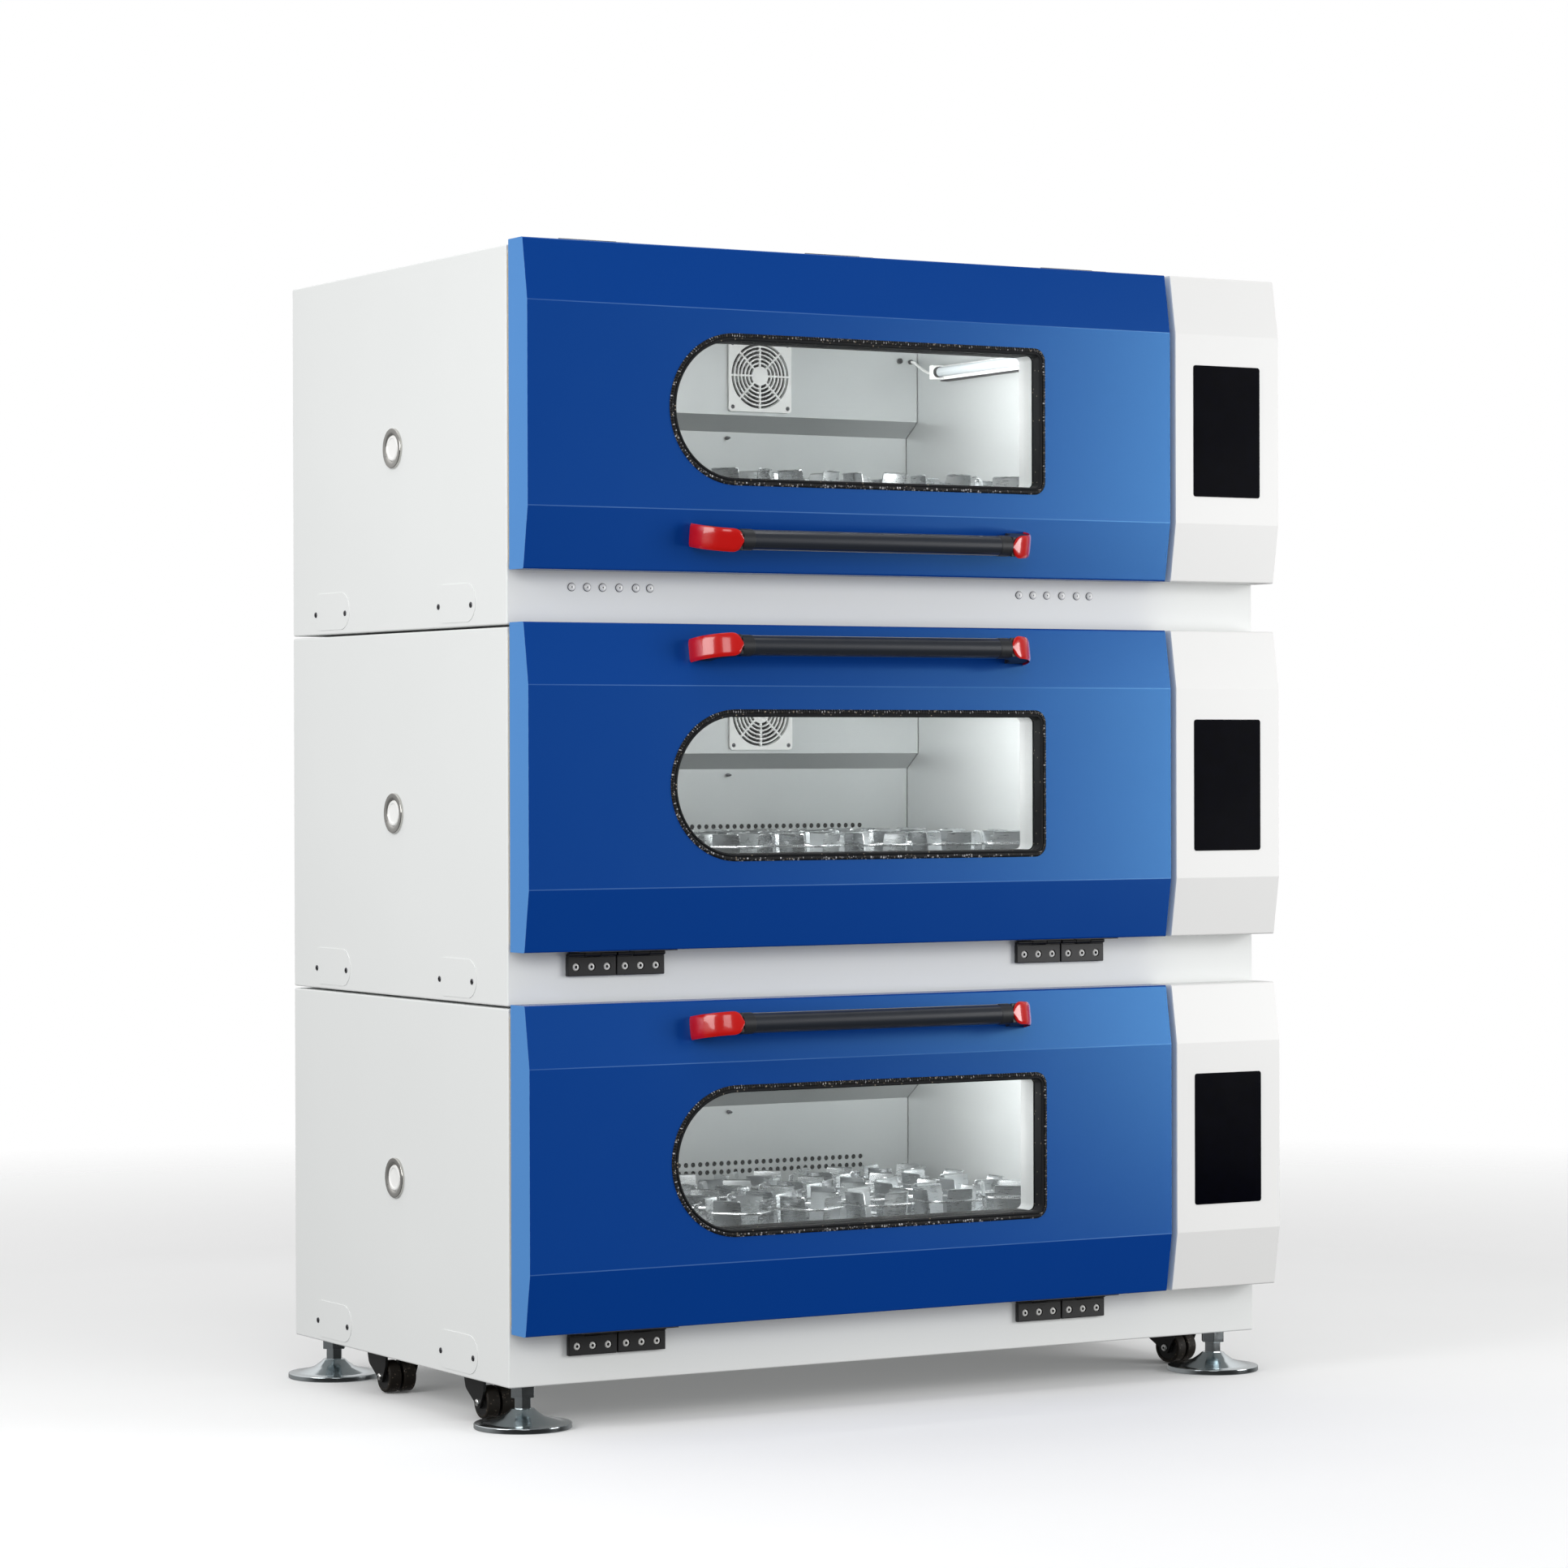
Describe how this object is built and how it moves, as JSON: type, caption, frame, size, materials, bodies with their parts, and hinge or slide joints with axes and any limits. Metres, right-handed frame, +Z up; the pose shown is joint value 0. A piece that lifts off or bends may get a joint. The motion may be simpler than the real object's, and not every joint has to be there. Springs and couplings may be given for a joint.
{
  "type": "stackable shaking incubator",
  "caption": "Floor-standing stack of incubator shakers with drop-down and lift-up window doors, touch screens and orbital platforms on levelling feet.",
  "frame": {"origin": "on the floor, under the middle of the stack's outline seen from above", "axes": "+X to the right seen from the front, the doors face -Y, +Z up"},
  "size_m": [1.395, 0.9051, 1.756],
  "materials": {
    "cabinet_paint": "smooth off-white powder coat",
    "column_paint": "smooth white powder coat",
    "door_blue": "glossy deep blue paint",
    "stainless_liner": "fine satin stainless",
    "stainless_deck": "satin stainless",
    "black_rubber": "matt ribbed black",
    "clear_glass": "clear polished",
    "screen_black": "black glass panel",
    "handle_black": "black satin",
    "cap_red": "glossy red",
    "chrome_ring": "bright chrome",
    "white_plastic": "fine matt white",
    "black_plastic": "matt black",
    "motor_paint": "dark grey machine enamel",
    "eccentric_iron": "machined cast iron",
    "zinc_plate": "bright zinc plating",
    "castor_black": "satin black nylon",
    "castor_tread": "brownish black tread"
  },
  "bodies": {
    "stack": {"lower_cabinet": "cabinet_paint", "lower_chamber": "stainless_liner", "lower_control_housing": "column_paint", "lower_touch_screen": "screen_black", "lower_port_ring": "chrome_ring", "lower_fan_housing": "white_plastic", "lower_drive_motor": "motor_paint", "middle_cabinet": "cabinet_paint", "middle_chamber": "stainless_liner", "middle_control_housing": "column_paint", "middle_touch_screen": "screen_black", "middle_port_ring": "chrome_ring", "middle_fan_housing": "white_plastic", "middle_drive_motor": "motor_paint", "upper_cabinet": "cabinet_paint", "upper_chamber": "stainless_liner", "upper_control_housing": "column_paint", "upper_touch_screen": "screen_black", "upper_port_ring": "chrome_ring", "upper_fan_housing": "white_plastic", "upper_drive_motor": "motor_paint"},
    "lower_door": {"lower_door_shell": "door_blue", "lower_window_gasket": "black_rubber", "lower_window_glass": "clear_glass", "lower_handle_bar": "handle_black", "lower_handle_cap_left": "cap_red", "lower_handle_cap_right": "cap_red"},
    "lower_drive": {"lower_eccentric": "eccentric_iron"},
    "lower_table": {"lower_platform": "stainless_deck"},
    "lower_fan": {"lower_fan_rotor": "black_plastic"},
    "middle_door": {"middle_door_shell": "door_blue", "middle_window_gasket": "black_rubber", "middle_window_glass": "clear_glass", "middle_handle_bar": "handle_black", "middle_handle_cap_left": "cap_red", "middle_handle_cap_right": "cap_red"},
    "middle_drive": {"middle_eccentric": "eccentric_iron"},
    "middle_table": {"middle_platform": "stainless_deck"},
    "middle_fan": {"middle_fan_rotor": "black_plastic"},
    "upper_door": {"upper_door_shell": "door_blue", "upper_window_gasket": "black_rubber", "upper_window_glass": "clear_glass", "upper_handle_bar": "handle_black", "upper_handle_cap_left": "cap_red", "upper_handle_cap_right": "cap_red"},
    "upper_drive": {"upper_eccentric": "eccentric_iron"},
    "upper_table": {"upper_platform": "stainless_deck"},
    "upper_fan": {"upper_fan_rotor": "black_plastic"},
    "front_left_foot": {"front_left_levelling_foot": "zinc_plate"},
    "front_right_foot": {"front_right_levelling_foot": "zinc_plate"},
    "rear_left_foot": {"rear_left_levelling_foot": "zinc_plate"},
    "rear_right_foot": {"rear_right_levelling_foot": "zinc_plate"},
    "front_left_castor": {"front_left_castor_fork": "castor_black"},
    "front_left_wheels": {"front_left_castor_wheels": "castor_tread"},
    "front_right_castor": {"front_right_castor_fork": "castor_black"},
    "front_right_wheels": {"front_right_castor_wheels": "castor_tread"},
    "rear_left_castor": {"rear_left_castor_fork": "castor_black"},
    "rear_left_wheels": {"rear_left_castor_wheels": "castor_tread"},
    "rear_right_castor": {"rear_right_castor_fork": "castor_black"},
    "rear_right_wheels": {"rear_right_castor_wheels": "castor_tread"}
  },
  "joints": [
    {"name": "lower_door_hinge", "type": "hinge", "parent": "stack", "child": "lower_door", "pos_m": [-0.102, -0.33871, 0.1405], "axis": [1, 0, 0], "range_deg": [0, 90]},
    {"name": "lower_shaft_spin", "type": "hinge", "parent": "stack", "child": "lower_drive", "pos_m": [-0.102, -0.03071, 0.116], "axis": [0, 0, 1], "continuous": true},
    {"name": "lower_crank_pin", "type": "hinge", "parent": "lower_drive", "child": "lower_table", "pos_m": [-0.0895, -0.03071, 0.216], "axis": [0, 0, 1], "continuous": true},
    {"name": "lower_fan_spin", "type": "hinge", "parent": "stack", "child": "lower_fan", "pos_m": [0.104, 0.28429, 0.503], "axis": [0, 1, 0], "continuous": true},
    {"name": "middle_door_hinge", "type": "hinge", "parent": "stack", "child": "middle_door", "pos_m": [-0.102, -0.33871, 0.7005], "axis": [1, 0, 0], "range_deg": [0, 90]},
    {"name": "middle_shaft_spin", "type": "hinge", "parent": "stack", "child": "middle_drive", "pos_m": [-0.102, -0.03071, 0.676], "axis": [0, 0, 1], "continuous": true},
    {"name": "middle_crank_pin", "type": "hinge", "parent": "middle_drive", "child": "middle_table", "pos_m": [-0.0895, -0.03071, 0.776], "axis": [0, 0, 1], "continuous": true},
    {"name": "middle_fan_spin", "type": "hinge", "parent": "stack", "child": "middle_fan", "pos_m": [0.104, 0.28429, 1.063], "axis": [0, 1, 0], "continuous": true},
    {"name": "upper_door_hinge", "type": "hinge", "parent": "stack", "child": "upper_door", "pos_m": [-0.102, -0.33221, 1.7525], "axis": [-1, 0, 0], "range_deg": [0, 85]},
    {"name": "upper_shaft_spin", "type": "hinge", "parent": "stack", "child": "upper_drive", "pos_m": [-0.102, -0.03071, 1.236], "axis": [0, 0, 1], "continuous": true},
    {"name": "upper_crank_pin", "type": "hinge", "parent": "upper_drive", "child": "upper_table", "pos_m": [-0.0895, -0.03071, 1.336], "axis": [0, 0, 1], "continuous": true},
    {"name": "upper_fan_spin", "type": "hinge", "parent": "stack", "child": "upper_fan", "pos_m": [0.104, 0.28429, 1.623], "axis": [0, 1, 0], "continuous": true},
    {"name": "front_left_foot_screw", "type": "slide", "parent": "stack", "child": "front_left_foot", "axis": [0, 0, 1], "range_m": [-0.03, 0]},
    {"name": "front_right_foot_screw", "type": "slide", "parent": "stack", "child": "front_right_foot", "axis": [0, 0, 1], "range_m": [-0.03, 0]},
    {"name": "rear_left_foot_screw", "type": "slide", "parent": "stack", "child": "rear_left_foot", "axis": [0, 0, 1], "range_m": [-0.03, 0]},
    {"name": "rear_right_foot_screw", "type": "slide", "parent": "stack", "child": "rear_right_foot", "axis": [0, 0, 1], "range_m": [-0.03, 0]},
    {"name": "front_left_swivel", "type": "hinge", "parent": "stack", "child": "front_left_castor", "pos_m": [-0.619, -0.15571, 0.063], "axis": [0, 0, 1], "continuous": true},
    {"name": "front_left_axle", "type": "hinge", "parent": "front_left_castor", "child": "front_left_wheels", "pos_m": [-0.619, -0.18071, 0.0265], "axis": [1, 0, 0], "continuous": true},
    {"name": "front_right_swivel", "type": "hinge", "parent": "stack", "child": "front_right_castor", "pos_m": [0.619, -0.15571, 0.063], "axis": [0, 0, 1], "continuous": true},
    {"name": "front_right_axle", "type": "hinge", "parent": "front_right_castor", "child": "front_right_wheels", "pos_m": [0.62547, -0.17986, 0.0265], "axis": [0.9659, 0.2588, 0], "continuous": true},
    {"name": "rear_left_swivel", "type": "hinge", "parent": "stack", "child": "rear_left_castor", "pos_m": [-0.619, 0.18429, 0.063], "axis": [0, 0, 1], "continuous": true},
    {"name": "rear_left_axle", "type": "hinge", "parent": "rear_left_castor", "child": "rear_left_wheels", "pos_m": [-0.619, 0.15929, 0.0265], "axis": [1, 0, 0], "continuous": true},
    {"name": "rear_right_swivel", "type": "hinge", "parent": "stack", "child": "rear_right_castor", "pos_m": [0.619, 0.18429, 0.063], "axis": [0, 0, 1], "continuous": true},
    {"name": "rear_right_axle", "type": "hinge", "parent": "rear_right_castor", "child": "rear_right_wheels", "pos_m": [0.61045, 0.1608, 0.0265], "axis": [0.9397, -0.342, 0], "continuous": true}
  ],
  "couplings": [
    {"joint": "lower_crank_pin", "follows": "lower_shaft_spin", "ratio": -1},
    {"joint": "middle_crank_pin", "follows": "middle_shaft_spin", "ratio": -1},
    {"joint": "upper_crank_pin", "follows": "upper_shaft_spin", "ratio": -1}
  ]
}
